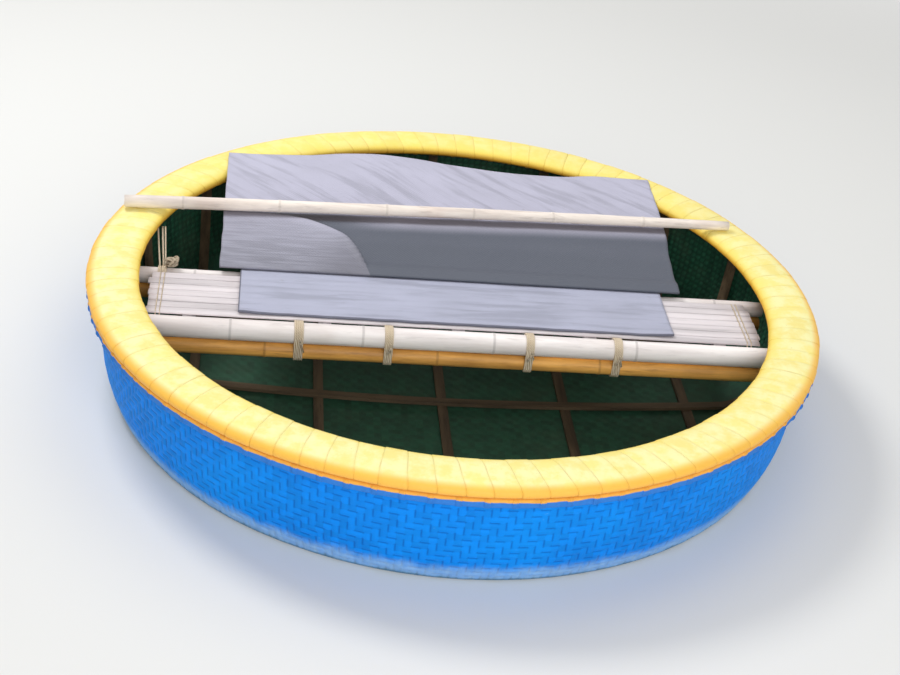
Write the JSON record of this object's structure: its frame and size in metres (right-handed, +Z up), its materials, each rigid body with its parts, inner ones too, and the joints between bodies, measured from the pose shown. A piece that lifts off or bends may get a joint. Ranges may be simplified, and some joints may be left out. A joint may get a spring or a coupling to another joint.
{
  "type": "round basket coracle",
  "caption": "Round woven basket boat with a lashed yellow rim, crossing ribs, a slatted bench, loose mats and a pole laid across the rim.",
  "frame": {"origin": "centre of the waterline plane, on the hull's round axis", "axes": "+Z up; X along the bench; +Y from the open front well to the mat behind the bench"},
  "size_m": [2, 2, 0.47],
  "materials": {
    "hull_blue": "satin paint over woven strips",
    "rim_yellow": "gloss paint",
    "hoop_orange": "gloss paint",
    "rib_brown": "matt",
    "bamboo_pale": "weathered, matt",
    "beam_brown": "satin",
    "cord_straw": "matt",
    "mat_grey": "matt",
    "pole_pale": "smooth, matt"
  },
  "bodies": {
    "root": {"back_beam": "beam_brown", "back_lashing_1": "cord_straw", "back_lashing_2": "cord_straw", "back_lashing_3": "cord_straw", "back_lashing_4": "cord_straw", "back_rail": "bamboo_pale", "crossbar_1": "bamboo_pale", "crossbar_2": "bamboo_pale", "crossbar_3": "bamboo_pale", "crossbar_4": "bamboo_pale", "crossbar_5": "bamboo_pale", "front_beam": "beam_brown", "front_lashing_1": "cord_straw", "front_lashing_2": "cord_straw", "front_lashing_3": "cord_straw", "front_lashing_4": "cord_straw", "front_rail": "bamboo_pale", "inner_rim_hoop": "hoop_orange", "lower_rib_1": "rib_brown", "lower_rib_2": "rib_brown", "lower_rib_3": "rib_brown", "lower_rib_4": "rib_brown", "lower_rib_5": "rib_brown", "outer_rim_hoop": "hoop_orange", "pole": "pole_pale", "rear_mat": "mat_grey", "rim_cap": "rim_yellow", "seat_mat": "mat_grey", "slat_1": "bamboo_pale", "slat_2": "bamboo_pale", "slat_3": "bamboo_pale", "slat_4": "bamboo_pale", "slat_5": "bamboo_pale", "slat_6": "bamboo_pale", "slat_7": "bamboo_pale", "upper_rib_1": "rib_brown", "upper_rib_2": "rib_brown", "upper_rib_3": "rib_brown", "upper_rib_4": "rib_brown", "upper_rib_5": "rib_brown", "woven_hull": "hull_blue"}
  },
  "joints": []
}
